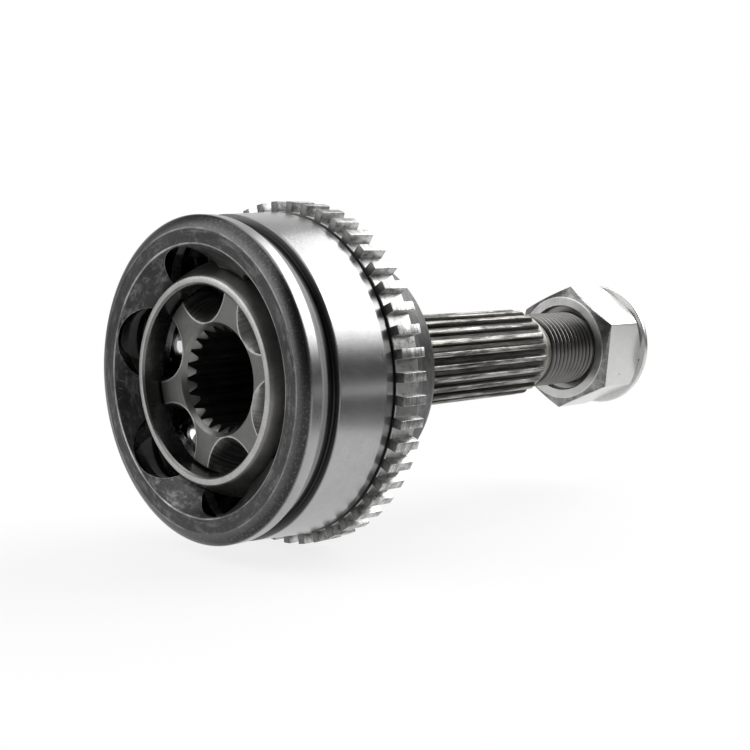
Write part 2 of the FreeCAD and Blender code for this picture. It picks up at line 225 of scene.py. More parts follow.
def repeat_round_axis(piece: Thing, count: int, first: float) -> Thing:
    """Repeat a piece's mesh evenly round the joint's axis.

    Args:
        piece: the piece.
        count: how many there are in the end.
        first: where the first of them goes, as a turn about the axis.

    Returns:
        The same object with every copy in its mesh.
    """
    span = FULL_TURN * (count - 1) / count
    with editing(turn_about_axis(piece, first), whole=True):
        bpy.ops.mesh.spin(steps=count - 1, dupli=True, angle=span, center=CENTRE, axis=AXIS)
    return piece


def join(first: Thing, *others: Thing) -> Thing:
    """Join pieces of one metal into the first of them.

    Args:
        first: the piece that is kept.
        others: the pieces that go into it.

    Returns:
        The first piece.
    """
    make_active(first)
    for other in others:
        other.select_set(True)
    bpy.ops.object.join()
    return first


def held(outline: Outline) -> Outline:
    """Add a corner beside each end of an outline's long runs, so that they shade evenly.

    Args:
        outline: its corners as pairs of x and radius, in millimetres.

    Returns:
        The corners with those added.
    """
    corners = []
    for here, there in zip(outline, outline[1:]):
        corners.append(here)
        length = math.dist(here, there)
        if length > LONG_RUN:
            for share in (HOLD / length, 1 - HOLD / length):
                corners.append(tuple(a + (b - a) * share for a, b in zip(here, there)))
    return [*corners, outline[-1]]


def draw_outline(name: str, outline: Outline) -> Thing:
    """Draw an outline corner by corner, as a bare line above the joint's axis.

    Args:
        name: the new object's name.
        outline: its corners as pairs of x and radius, in millimetres.

    Returns:
        The line.
    """
    unselect_all()
    bpy.ops.mesh.primitive_plane_add(size=MM, location=CENTRE)
    piece = newest(name)
    corners = [Vector((x * MM, 0, radius * MM)) for x, radius in outline]
    with editing(piece, whole=True):
        bpy.ops.mesh.merge(type="CENTER")
        bpy.ops.transform.translate(value=corners[0])
        for here, there in zip(corners, corners[1:]):
            bpy.ops.mesh.extrude_vertices_move(TRANSFORM_OT_translate={"value": there - here})
        bpy.ops.mesh.select_all(action="SELECT")
        bpy.ops.mesh.remove_doubles(threshold=WELD)
    return piece


def turn_outline(name: str, outline: Outline, steps: int, closed: bool = True) -> Thing:
    """Draw an outline and spin it round the joint's axis.

    Args:
        name: the new object's name.
        outline: its corners as pairs of x and radius, in millimetres.
        steps: how many steps the full turn takes.
        closed: whether the outline returns to its start, or runs from axis to axis.

    Returns:
        The turned solid.
    """
    piece = draw_outline(name, held([*outline, outline[0]] if closed else outline))
    with editing(piece, whole=True):
        bpy.ops.mesh.spin(steps=steps, angle=FULL_TURN, center=CENTRE, axis=AXIS)
        bpy.ops.mesh.select_all(action="SELECT")
        bpy.ops.mesh.remove_doubles(threshold=WELD)
        face_outwards()
    return piece


def arc(radius: float, start_x: float, end_x: float, count: int) -> Outline:
    """List outline corners along a circle about the joint's centre.

    Args:
        radius: the circle's radius in millimetres.
        start_x: where the arc starts along the axis.
        end_x: where it ends.
        count: how many corners it has, both ends included.

    Returns:
        The corners as pairs of x and radius.
    """
    start = math.acos(start_x / radius)
    end = math.acos(end_x / radius)
    turns = [start + (end - start) * index / (count - 1) for index in range(count)]
    return [(radius * math.cos(turn), radius * math.sin(turn)) for turn in turns]


def block(name: str, span_x: tuple[float, float], width: float, span_z: tuple[float, float]) -> Thing:
    """Add a box on the +Z side of the axis.

    Args:
        name: the new object's name.
        span_x: where it starts and ends along the axis, in millimetres.
        width: its size along Y.
        span_z: its lowest and highest radius.

    Returns:
        The box.
    """
    unselect_all()
    middle = Vector((sum(span_x) / 2, 0, sum(span_z) / 2)) * MM
    size = Vector((span_x[1] - span_x[0], width, span_z[1] - span_z[0])) * MM
    bpy.ops.mesh.primitive_cube_add(size=1, location=middle, scale=size)
    return settle(newest(name))


def shrink(tooth: Thing, wanted: Callable[[Vector], bool], length: float, width: float) -> None:
    """Shrink the chosen end of a tooth to a share of its length and of its width.

    Args:
        tooth: the tooth, in the middle of Y.
        wanted: says of a point's place whether it is shrunk.
        length: the share of its length along the axis.
        width: the share of its width along Y.
    """
    with editing(tooth):
        select_points(tooth, wanted)
        bpy.ops.transform.resize(value=(length, width, 1), center_override=CENTRE)


def carve(piece: Thing, tool: Thing, mode: CutMode = CutMode.REMOVE) -> None:
    """Cut a piece with a tool, which is then deleted.

    Args:
        piece: the piece that is cut.
        tool: the closed solid that cuts it.
        mode: whether the tool's space is taken out or kept.
    """
    modify(piece, "BOOLEAN", operation=mode.value, solver="EXACT", object=tool)
    make_active(tool)
    bpy.ops.object.delete()


def round_edges(piece: Thing, width: float, angle: float = 30, segments: int = 2) -> None:
    """Round a piece's sharp edges.

    Args:
        piece: the piece to finish.
        width: the round's width in millimetres.
        angle: the least turn of an edge that is rounded.
        segments: how many strips make the round.
    """
    settings = {"width": width * MM, "segments": segments, "limit_method": "ANGLE"}
    modify(piece, "BEVEL", angle_limit=math.radians(angle), harden_normals=False, **settings)


def tidy_cut(piece: Thing, weld: float = 0.05) -> None:
    """Merge the slivers that a cut leaves and point all faces outwards.

    Args:
        piece: the piece that was cut.
        weld: how near points are merged, in millimetres.
    """
    with editing(piece, whole=True):
        bpy.ops.mesh.remove_doubles(threshold=weld * MM)
        bpy.ops.mesh.dissolve_degenerate(threshold=weld * MM / 2)
        face_outwards()


def smooth(piece: Thing, angle: float = 32) -> None:
    """Shade a piece smooth, apart from edges that turn more than an angle."""
    make_active(piece)
    bpy.ops.object.shade_smooth_by_angle(angle=math.radians(angle))


def mount(piece: Thing, material: bpy.types.Material, body: Body, node: str) -> None:
    """Dress a finished piece and tie it to the frame.

    Args:
        piece: the finished piece.
        material: its material.
        body: the body that it rides on.
        node: the frame's node that it stands for.
    """
    piece.data.materials.clear()
    piece.data.materials.append(material)
    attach(piece, body.value)
    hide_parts(node)
    LOG.info("%s: %d faces, rides on %s", piece.name, len(piece.data.polygons), body.value)


class Value:
    """A shader socket that Python's own arithmetic works on.

    The angles that sine and cosine take are in radians.
    """

    def __init__(self, sheet: "Sheet", socket: bpy.types.NodeSocket) -> None:
        """Wrap one socket of a sheet's node tree."""
        self.sheet = sheet
        self.socket = socket

    def _math(self, operation: str, *terms: "Value | float") -> "Value":
        """Add a Math node on this value and further terms."""
        inputs = dict(enumerate((self, *terms)))
        return self.sheet.node("ShaderNodeMath", {"operation": operation}, inputs)

    __add__ = __radd__ = partialmethod(_math, "ADD")
    __sub__ = partialmethod(_math, "SUBTRACT")
    __mul__ = __rmul__ = partialmethod(_math, "MULTIPLY")
    __truediv__ = partialmethod(_math, "DIVIDE")
    __abs__ = partialmethod(_math, "ABSOLUTE")
    root = partialmethod(_math, "SQRT")
    sine = partialmethod(_math, "SINE")
    cosine = partialmethod(_math, "COSINE")
    at_least = partialmethod(_math, "MAXIMUM")

    def __rsub__(self, other: float) -> "Value":
        """Subtract from a number."""
        return self.sheet.node("ShaderNodeMath", {"operation": "SUBTRACT"}, {0: other, 1: self})

    def folded(self, period: float) -> "Value":
        """Return the value wrapped to half a period on either side of zero."""
        return self._math("WRAP", period / 2, -period / 2)

    def rise(self, low: float, high: float) -> "Value":
        """Return 0 below low, 1 above high and a smooth rise between.

        Args:
            low: where the rise starts.
            high: where it ends.

        Returns:
            The rise.
        """
        settings = {"interpolation_type": "SMOOTHSTEP"}
        return self.sheet.node(
            "ShaderNodeMapRange", settings, {"Value": self, "From Min": low, "From Max": high}, "Result"
        )

    def fall(self, low: float, high: float) -> "Value":
        """Return 1 below low, 0 above high and a smooth fall between."""
        return 1 - self.rise(low, high)


class Sheet:
    """The node tree of one material, with short ways to add to it.

    The places it reads are in millimetres.
    """

    def __init__(self, name: str) -> None:
        """Start a material that holds a metal shader.

        Args:
            name: the material's name.
        """
        self.material = bpy.data.materials.new(name)
        self.material.use_nodes = True
        self.tree = self.material.node_tree
        self.shader = self.tree.nodes["Principled BSDF"]
        self.place = self.node("ShaderNodeTexCoord", output="Object")
        self.x, self.y, self.z = (self.part(self.place, name) * (1 / MM) for name in "XYZ")
        self.radius = (self.y * self.y + self.z * self.z).root()
        self.reach = (self.x * self.x + self.radius * self.radius).root()

    def node(
        self, kind: str, settings: dict | None = None, values: dict | None = None, output: str | int = 0
    ) -> Value:
        """Add a node and return one of its outputs.

        Args:
            kind: the node's type.
            settings: its own settings, set first; "stops" sets a ramp's readings and greys.
            values: what each input holds or takes.
            output: the output wanted.

        Returns:
            The output.
        """
        made = self.tree.nodes.new(kind)
        for name, setting in (settings or {}).items():
            if name == "stops":
                elements = made.color_ramp.elements
                for index, (reading, shade) in enumerate(setting):
                    stop = elements[index] if index < len(elements) else elements.new(reading)
                    stop.position = reading
                    stop.color = (*grey(shade), 1)
            else:
                setattr(made, name, setting)
        for name, value in (values or {}).items():
            self.fill(made.inputs[name], value)
        return Value(self, made.outputs[output])

    def fill(self, socket: bpy.types.NodeSocket, value: Value | float | Colour) -> None:
        """Link a value to a socket, or set the socket's own constant.

        Args:
            socket: the input.
            value: what it takes or holds.
        """
        if isinstance(value, Value):
            self.tree.links.new(value.socket, socket)
        elif isinstance(value, tuple) and socket.type == "RGBA":
            socket.default_value = (*value, 1)
        else:
            socket.default_value = value

    def part(self, vector: Value, name: str) -> Value:
        """Return one coordinate of a vector."""
        return self.node("ShaderNodeSeparateXYZ", values={"Vector": vector}, output=name)

    def vector(self, x: Value | float, y: Value | float, z: Value | float) -> Value:
        """Put three numbers together."""
        return self.node("ShaderNodeCombineXYZ", values={"X": x, "Y": y, "Z": z})

    def coats(self, ground: Value, *coats: tuple[Value, Value | Colour]) -> Value:
        """Lay colours over a ground, one after the other.

        Args:
            ground: the colour below them.
            coats: pairs of how far a colour covers and the colour.

        Returns:
            The colour that shows.
        """
        for share, coat in coats:
            values = {0: share, 6: ground, 7: coat}
            ground = self.node("ShaderNodeMix", {"data_type": "RGBA"}, values, 2)
        return ground

    def tint(self, colour: Value | Colour, factor: Value) -> Value:
        """Multiply a colour by a number that changes over the surface."""
        factors = self.vector(factor, factor, factor)
        return self.node("ShaderNodeVectorMath", {"operation": "MULTIPLY"}, {0: colour, 1: factors})

    def along(self, stops: Sequence[tuple[float, float]]) -> Value:
        """Grade a grey along the axis.

        Args:
            stops: pairs of a place along the axis and a grey.

        Returns:
            The grey as a colour.
        """
        low, high = stops[0][0], stops[-1][0]
        readings = [((x - low) / (high - low), shade) for x, shade in stops]
        factor = (self.x - low) / (high - low)
        return self.node("ShaderNodeValToRGB", {"stops": readings}, {"Fac": factor}, "Color")

    def noise(
        self, size: float, detail: float = 4, rough: float = 0.6, place: Value | None = None
    ) -> Value:
        """Return noise about 0.5.

        Args:
            size: the size of its blots in millimetres.
            detail: how many finer layers it has.
            rough: how strong those are.
            place: a stretched place to read, in millimetres, in place of the real one.

        Returns:
            The noise.
        """
        place = place or self.vector(self.x, self.y, self.z)
        values = {"Vector": place, "Scale": 1 / size, "Detail": detail, "Roughness": rough}
        return self.node("ShaderNodeTexNoise", values=values, output="Fac")

    def lathe_lines(self, size: float) -> Value:
        """Return fine lines that run round the axis, of a given pitch in millimetres."""
        return self.noise(1, 4, 0.7, self.vector(self.x / size, self.y / 60, self.z / 60))

    def draw_lines(self, size: float, length: float) -> Value:
        """Return fine lines that run along the axis, of a given width and length."""
        return self.noise(1, 4, 0.7, self.vector(self.x / length, self.y / size, self.z / size))

    def face_lines(self, size: float) -> Value:
        """Return fine rings on a flat face, of a given pitch in millimetres."""
        return self.noise(1, 4, 0.7, self.vector(self.radius / size, self.y / 50, self.z / 50))

    def worn_arcs(self, width: float, length: float) -> Value:
        """Return short marks that run round the axis, of a given width and length."""
        place = [part / self.radius * (40 / length) for part in (self.y, self.z)]
        return self.noise(1, 6, 0.68, self.vector(*place, self.radius / width))

    def scratches(self, size: float, length: float, turn: float) -> Value:
        """Return sparse fine scratches, 1 in a scratch.

        Args:
            size: their spacing in millimetres.
            length: their length.
            turn: how they lean, in degrees.

        Returns:
            The scratches.
        """
        lean = math.radians(turn)
        across = self.y * math.cos(lean) + self.z * math.sin(lean) + self.x * 0.35
        along = self.z * math.cos(lean) - self.y * math.sin(lean)
        lines = self.noise(1, 3, 0.75, self.vector(across / size, along / length, self.x / length))
        return lines.rise(0.64, 0.74)

    def pits(self, size: float, share: float = 0.3) -> Value:
        """Return 1 in scattered pits and 0 elsewhere.

        Args:
            size: their size in millimetres.
            share: how much of the surface has them.

        Returns:
            The pits.
        """
        place = self.vector(self.x, self.y, self.z)
        values = {"Vector": place, "Scale": 0.22 / size}
        distance = self.node("ShaderNodeTexVoronoi", {}, values, "Distance")
        chance = self.noise(size * 9, 1).rise(0.62 - share * 0.4, 0.68 - share * 0.4)
        return distance.fall(0.07, 0.12) * chance

    def track_edge(self, tracks: "Tracks", ring: float, offset: float) -> Value:
        """Return how far a place is from the wall of the nearest ball track.

        Args:
            tracks: the ball tracks.
            ring: the radius that a track's middle follows.
            offset: where the middle of that arc is along the axis.

        Returns:
            The distance in millimetres, negative inside the track.
        """
        turn = self.node("ShaderNodeMath", {"operation": "ARCTAN2"}, {0: self.z, 1: self.y})
        turn = (turn - math.radians(tracks.phase)).folded(FULL_TURN / tracks.count)
        outwards = self.radius * turn.cosine()
        sideways = self.radius * turn.sine()
        forward = self.x - offset
        across = (forward * forward + outwards * outwards).root() - ring
        return (across * across + sideways * sideways).root() - tracks.tube_radius

    def finish(
        self, colour: Value, roughness: Value, height: Value, strength: float, depth: float
    ) -> bpy.types.Material:
        """Connect the metal shader.

        Args:
            colour: the metal's colour.
            roughness: its roughness.
            height: the relief that bends its normals.
            strength: how strongly.
            depth: the relief's depth in millimetres.

        Returns:
            The finished material.
        """
        values = {"Strength": strength, "Distance": depth * MM, "Height": height}
        self.shader.inputs["Metallic"].default_value = 1
        self.fill(self.shader.inputs["Base Color"], colour)
        self.fill(self.shader.inputs["Roughness"], roughness)
        self.fill(self.shader.inputs["Normal"], self.node("ShaderNodeBump", values=values))
        return self.material

    def glow(self, colour: Value | Colour) -> Value:
        """Return a shader that gives off a colour at plain strength."""
        return self.node("ShaderNodeEmission", values={"Color": colour, "Strength": 1})

    def cover(self, piece: Thing, shader: Value) -> None:
        """Use a shader in place of the metal's, and the material on a piece."""
        self.fill(self.tree.nodes["Material Output"].inputs["Surface"], shader)
        piece.data.materials.append(self.material)


@dataclass(frozen=True)
class BellFinish:
    """Hardened forging with ground lands, grooves painted dark as shade and an oiled cavity."""

    name: str = "bell_forged_steel"
    # Painted highlight: the slope's grey carried on to -12.4 over the groove floor's front.
    # Painted shade: the near-black groove floor from -12.0 to -9.9 in these greys.
    # Painted shadow: the fall to near black from 7.9 to 8.5, in front of the ring.
    shades: tuple[tuple[float, float], ...] = (
        (-21.2, 0.13), (-20.2, 0.045), (-19.15, 0.035), (-18.95, 0.36), (-15.65, 0.38),
        (-15.4, 0.44), (-12.4, 0.4), (-12.0, 0.05), (-9.9, 0.03), (-9.6, 0.4), (5.3, 0.4),
        (5.8, 0.3), (7.9, 0.3), (8.5, 0.04), (36.0, 0.04), (47.0, 0.08),
    )
    gloss: tuple[tuple[float, float], ...] = (
        (-21.2, 0.4), (-19.1, 0.26), (-18.9, 0.3), (-15.5, 0.3), (-15.3, 0.7), (-12.4, 0.7),
        (-12.0, 0.34), (-9.7, 0.34), (-9.5, 0.26), (5.3, 0.26), (5.9, 0.34), (8.5, 0.34),
        (9.0, 0.45), (47.0, 0.4),
    )
    face_grey: float = 0.085
    cavity_grey: float = 0.075
    cavity_rim: float = 35.8
    face_rim: float = 39.8
    face_x: float = -20.98
    rounding_end_x: float = -19.2
    land_x: float = -9.8
    back_x: float = 8.7
    cavity_end_x: float = 28.0

    def build(self, tracks: "Tracks", ring: float, offset: float) -> bpy.types.Material:
        """Make the bell's material.

        Args:
            tracks: the ball tracks, whose walls are polished.
            ring: the radius that a track's middle follows.
            offset: where the middle of that arc is along the axis.

        Returns:
            The finished material.
        """
        sheet = Sheet(self.name)
        turned = sheet.lathe_lines(0.16)
        stains = sheet.noise(9, 6, 0.62)
        speckle = sheet.noise(0.55, 3)
        mottle = sheet.noise(2.4, 7, 0.68)
        face = sheet.x.fall(self.face_x, self.face_x + 0.08)
        inside = sheet.radius.fall(self.cavity_rim - 0.1, self.cavity_rim + 0.05)
        inside = inside * sheet.x.fall(self.cavity_end_x, self.cavity_end_x + 1)
        scuffs = sheet.scratches(0.5, 14, 25).at_least(sheet.scratches(0.4, 9, -50))
        wear = (mottle * 0.35 + sheet.worn_arcs(1.3, 7) * 0.65).rise(0.47, 0.66)
        # Painted highlights: thin bright lines on the rounded rims of the cavity and the face.
        painted_rim_highlights = self.line(sheet, self.cavity_rim).at_least(self.line(sheet, self.face_rim) * 0.5)
        painted_rim_highlights = painted_rim_highlights * sheet.x.fall(self.face_x + 0.48, self.face_x + 0.68)
        wall = abs(sheet.track_edge(tracks, ring, offset)).fall(0.04, 0.12) * inside

        edge = sheet.x.fall(self.rounding_end_x, self.rounding_end_x + 0.2) * (1 - face)
        forged = sheet.x.rise(self.back_x, self.back_x + 0.5) * mottle.rise(0.4, 0.66) * 0.6
        pits = sheet.pits(0.35) * sheet.x.fall(self.land_x, self.land_x + 0.2).at_least(0.25)

        uneven = 0.66 + stains * 0.34 + speckle * 0.18 + turned * 0.16
        ground = sheet.tint(grey(self.face_grey), 0.1 + stains * 0.8 + wear * 1.1 + speckle * 0.5)
        oiled = sheet.tint(grey(self.cavity_grey), stains * 0.6 + wear * 1.3 + speckle * 0.5)
        colour = sheet.coats(
            sheet.tint(sheet.along(self.shades), uneven),
            (face, ground),
            (edge * speckle.rise(0.5, 0.75) * 0.45, grey(0.2)),
            (inside, oiled),
            (wall, sheet.tint(grey(0.3), 0.5 + wear * 0.7)),
            (scuffs * (0.4 * face.at_least(inside)), grey(0.45)),
            (painted_rim_highlights * (0.2 + stains.rise(0.35, 0.65) * 0.7), (0.45, 0.45, 0.44)),
            (forged, (0.13, 0.128, 0.125)),
            (pits * 0.8, grey(0.02)),
        )
        roughness = sheet.along(self.gloss) * (0.82 + stains * 0.36) + inside * 0.02 - wall * 0.18
        height = turned * 0.5 + speckle * 0.4 + mottle * face.at_least(inside)
        height = height - pits * 1.5 - scuffs * 0.5
        return sheet.finish(colour, roughness, height, 0.3, 0.04)

    @staticmethod
    def line(sheet: Sheet, radius: float) -> Value:
        """Return 1 in a thin ring round the axis."""
        return abs(sheet.radius - radius).fall(0.12, 0.3)


@dataclass(frozen=True)
class SplineFinish:
    """Hardened splines with dark roots and bright worn crests."""

    name: str = "stub_spline_steel"
    root_radius: float = 13.2
    crest_radius: float = 13.72
    end_x: float = 109.5

    def build(self) -> bpy.types.Material:
        """Make the splines' material.

        Returns:
            The finished material.
        """
        sheet = Sheet(self.name)
        streaks = sheet.draw_lines(0.35, 9)
        blots = sheet.noise(1, 5, 0.65, sheet.vector(sheet.x / 16, sheet.y / 2.2, sheet.z / 2.2))
        speckle = sheet.noise(0.5, 3)
        crest = sheet.radius.rise(self.root_radius, self.crest_radius)
        worn = crest * (0.1 + blots.rise(0.42, 0.58) * 0.8)
        end = sheet.x.rise(self.end_x, self.end_x + 2)
        dark = sheet.tint((0.07, 0.067, 0.062), streaks.rise(0.25, 0.75) * 1.6)
        bright = sheet.tint((0.46, 0.45, 0.42), 0.3 + streaks.rise(0.3, 0.7) * 0.9)
        colour = sheet.coats(dark, (worn, bright), (end * 0.7, (0.36, 0.35, 0.32)))
        roughness = 0.42 - worn * 0.12 + blots * 0.14
        height = streaks + blots * 0.7 + speckle * 0.5
        return sheet.finish(colour, roughness, height, 0.4, 0.06)


@dataclass(frozen=True)
class ThreadFinish:
    """Cut thread, grey on its crests and dark in its roots."""

    name: str = "stub_thread_steel"
    root_radius: float = 10.9
    crest_radius: float = 11.95

    def build(self) -> bpy.types.Material:
        """Make the thread's material.

        Returns:
            The finished material.
        """
        sheet = Sheet(self.name)
        stains = sheet.noise(5, 5)
        speckle = sheet.noise(0.4, 3)
        crest = sheet.radius.rise(self.root_radius, self.crest_radius)
        dark = sheet.tint((0.035, 0.034, 0.033), 0.5 + stains)
        bright = sheet.tint((0.18, 0.176, 0.17), 0.6 + stains * 0.7)
        colour = sheet.coats(dark, (crest, bright))
        roughness = 0.26 + stains * 0.12
        height = stains * 0.5 + speckle * 0.5 + sheet.lathe_lines(0.12) * 0.5
        return sheet.finish(colour, roughness, height, 0.25, 0.04)


@dataclass(frozen=True)
class RingFinish:
    """Plated ring: mottled silver, brushed across its teeth."""

    name: str = "signal_ring_plated"
    root_radius: float = 44.45
    tip_radius: float = 46.85
    front_x: float = 8.95

    def build(self) -> bpy.types.Material:
        """Make the ring's material.

        Returns:
            The finished material.
        """
        sheet = Sheet(self.name)
        blots = sheet.noise(2.6, 6, 0.7)
        grain = sheet.noise(0.45, 4, 0.65)
        brushed = sheet.lathe_lines(0.4)
        floor = sheet.radius.fall(self.root_radius, self.root_radius + 0.3)
        tip = sheet.radius.rise(self.tip_radius - 0.15, self.tip_radius)
        # Painted shade: the ring's and teeth's front faces, towards the mouth, are dark.
        front = sheet.x.fall(self.front_x, self.front_x + 0.1)
        colour = sheet.coats(
            sheet.tint((0.62, 0.62, 0.61), blots.rise(0.3, 0.7) * 0.9 + grain * 0.6),
            (tip * brushed.fall(0.42, 0.56) * 0.75, grey(0.2)),
            (floor * blots.rise(0.4, 0.6) * 0.6, (0.26, 0.26, 0.25)),
            (front * 0.85, sheet.tint(grey(0.14), 0.2 + grain * 1.4)),
        )
        roughness = 0.16 + blots * 0.26 + grain * 0.08 + front * 0.1
        height = blots + grain * 0.8 + brushed * 0.8
        return sheet.finish(colour, roughness, height, 0.6, 0.08)


@dataclass(frozen=True)
class CageFinish:
    """Dark hardened cage with a bright ground rim."""

    name: str = "cage_hardened_steel"
    rim_x: float = -18.45
    bore_radius: float = 25.65
    inner_radius: float = 28.2

    def build(self) -> bpy.types.Material:
        """Make the cage's material.

        Returns:
            The finished material.
        """
        sheet = Sheet(self.name)
        stains = sheet.noise(6, 6)
        grain = sheet.noise(0.45, 4, 0.65)
        rings = sheet.face_lines(0.12)
        rim = sheet.x.fall(self.rim_x - 0.12, self.rim_x)
        dark = sheet.tint((0.2, 0.196, 0.19), 0.35 + stains * 1.1 + grain * 0.2)
        bright = sheet.tint((0.42, 0.42, 0.41), 0.3 + stains * 0.5 + grain * 0.9)
        # Painted shade: the bore and the inner sphere are darker than the rest of the cage.
        bore = sheet.radius.fall(self.bore_radius, self.bore_radius + 0.2)
        inner = bore.at_least(sheet.reach.fall(self.inner_radius, self.inner_radius + 0.3))
        painted_shade_inside = sheet.tint((0.16, 0.16, 0.157), 0.3 + stains * 1.2)
        colour = sheet.coats(dark, (inner, painted_shade_inside), (rim * (1 - inner), bright))
        roughness = 0.32 + stains * 0.14 + rim * 0.02 - inner * 0.12
        height = grain * 0.8 + rings * 0.5 + stains * 0.3
        return sheet.finish(colour, roughness, height, 0.25, 0.04)


@dataclass(frozen=True)
class RaceFinish:
    """Inner race: satin grey faces round polished tracks."""

    name: str = "inner_race_steel"
    face_x: float = -13.35
    land_radius: float = 27.55

    def build(self, tracks: "Tracks", ring: float) -> bpy.types.Material:
        """Make the inner race's material.

        Args:
            tracks: the ball tracks, whose walls are polished.
            ring: the radius that a track's middle follows.

        Returns:
            The finished material.
        """
        sheet = Sheet(self.name)
        stains = sheet.noise(7, 5)
        grain = sheet.noise(0.45, 4, 0.65)
        face = sheet.x.fall(self.face_x - 0.1, self.face_x + 0.05)
        land = sheet.reach.rise(self.land_radius - 0.15, self.land_radius)
        edge = sheet.track_edge(tracks, ring, 0.0)
        wall = abs(edge).fall(0.04, 0.12)
        # Painted highlight: a thin bright band on the face round each track's edge.
        rim = edge.rise(0.02, 0.08) * edge.fall(0.25, 0.4) * face
        arcs = sheet.noise(1, 4, 0.75, sheet.vector(sheet.reach / 0.5, sheet.y / 50, sheet.z / 50))
        dark = sheet.tint((0.2, 0.2, 0.195), 0.4 + stains)
        satin = sheet.tint((0.17, 0.17, 0.167), 0.2 + stains * 0.8 + grain * 0.6)
        colour = sheet.coats(
            dark,
            (face.at_least(land * 0.7), satin),
            (wall, sheet.tint((0.62, 0.62, 0.61), 0.35 + arcs.rise(0.3, 0.7) * 0.6)),
            (rim * 0.6, (0.55, 0.55, 0.54)),
        )
        roughness = 0.3 + face * 0.1 + stains * 0.08
        height = grain * 0.8 + sheet.face_lines(0.15) * face * 0.6 + arcs * wall * 0.6
        return sheet.finish(colour, roughness, height, 0.22, 0.04)


@dataclass(frozen=True)
class BallFinish:
    """Polished bearing steel under a thin film."""

    name: str = "bearing_ball_steel"

    def build(self) -> bpy.types.Material:
        """Make the balls' material.

        Returns:
            The finished material.
        """
        sheet = Sheet(self.name)
        film = sheet.noise(5, 4)
        colour = sheet.tint((0.74, 0.74, 0.75), 0.8 + film * 0.35)
        roughness = 0.07 + film.rise(0.5, 0.8) * 0.1
        return sheet.finish(colour, roughness, film, 0.04, 0.03)


@dataclass(frozen=True)
class NutFinish:
    """Bright zinc plating with haze, fine scratches and a few nicks."""

    name: str = "hub_nut_zinc"
    face_x: float = 134.8
    chamfer_end_x: float = 137.3
    face_radius: float = 17.0
    recess_radius: float = 13.95

    def build(self) -> bpy.types.Material:
        """Make the nut's material.

        Returns:
            The finished material.
        """
        sheet = Sheet(self.name)
        haze = sheet.noise(5, 6, 0.7)
        grain = sheet.noise(0.4, 4)
        nicks = sheet.pits(0.7, 0.2)
        scuffs = sheet.scratches(0.4, 8, 20)
        # Painted shade: the recess, the near face and the near chamfer are darker.
        bore = sheet.radius.fall(self.recess_radius, self.recess_radius + 0.15)
        face = sheet.x.fall(self.face_x + 0.05, self.face_x + 0.15)
        chamfer = sheet.x.fall(self.chamfer_end_x - 0.1, self.chamfer_end_x + 0.1) - face
        chamfer = chamfer * sheet.radius.rise(self.face_radius, self.face_radius + 0.1)
        blotched = (haze * 0.6 + grain * 0.4).rise(0.42, 0.62)
        shaded = sheet.tint((0.08, 0.08, 0.078), 0.1 + haze * 1.8)
        colour = sheet.coats(
            sheet.tint((0.7, 0.7, 0.69), 0.65 + haze * 0.4 + grain * 0.15),
            (face * 0.4, sheet.tint((0.36, 0.36, 0.355), 0.3 + haze * 1.4)),
            (chamfer * (0.9 - blotched * 0.3), shaded),
            (nicks * 0.8, (0.16, 0.155, 0.15)),
            (scuffs * 0.3, grey(0.45)),
            (bore * 0.75, grey(0.12)),
        )
        roughness = 0.16 + haze * 0.24 + grain * 0.05
        height = haze + grain * 0.5 - nicks * 2 - scuffs * 0.5
        return sheet.finish(colour, roughness, height, 0.25, 0.05)


@dataclass(frozen=True)
class Tracks:
    """The six ball tracks that the bell and the inner race share.

    A track's turns count from the ball plane, positive towards the stub.
    """

    count: int = 6
    phase: float = 17.0
    tube_radius: float = 10.3
    segments: int = 48
    bend_steps: int = 36

    def tool(self, ring: float, offset: float, start: float, end: float, blind: bool) -> Thing:
        """Make the solid that cuts all six tracks.

        Args:
            ring: the radius that a track's middle follows.
            offset: where the middle of that arc is along the axis.
            start: the turn of its end on the stub's side.
            end: the turn of its end on the mouth's side.
            blind: whether it starts with a dome.

        Returns:
            Six bent tubes in one object.
        """
        lean = math.radians(start)
        pivot = Vector((offset * MM, 0, 0))
        middle = pivot + Vector((math.sin(lean), math.cos(lean), 0)) * (ring * MM)
        heading = Vector((math.cos(lean), -math.sin(lean), 0))
        unselect_all()
        bpy.ops.mesh.primitive_uv_sphere_add(
            segments=self.segments,
            ring_count=self.segments // 2,
            radius=self.tube_radius * MM,
            location=middle,
            rotation=(0, QUARTER, -lean),
        )
        tube = settle(newest("track_tool"))
        with editing(tube):
            select_points(tube, lambda place: (place - middle).dot(heading) < -WELD)
            bpy.ops.mesh.delete(type="VERT")
            if not blind:
                select_points(tube, lambda place: (place - middle).dot(heading) > WELD)
                bpy.ops.mesh.delete(type="VERT")
            select_points(tube, lambda place: abs((place - middle).dot(heading)) < WELD)
            bend = math.radians(end - start)
            bpy.ops.mesh.spin(steps=self.bend_steps, angle=bend, center=pivot, axis=(0, 0, 1))
            bpy.ops.mesh.select_all(action="SELECT")
            bpy.ops.mesh.fill_holes(sides=0)
            face_outwards()
        return repeat_round_axis(tube, self.count, self.phase)


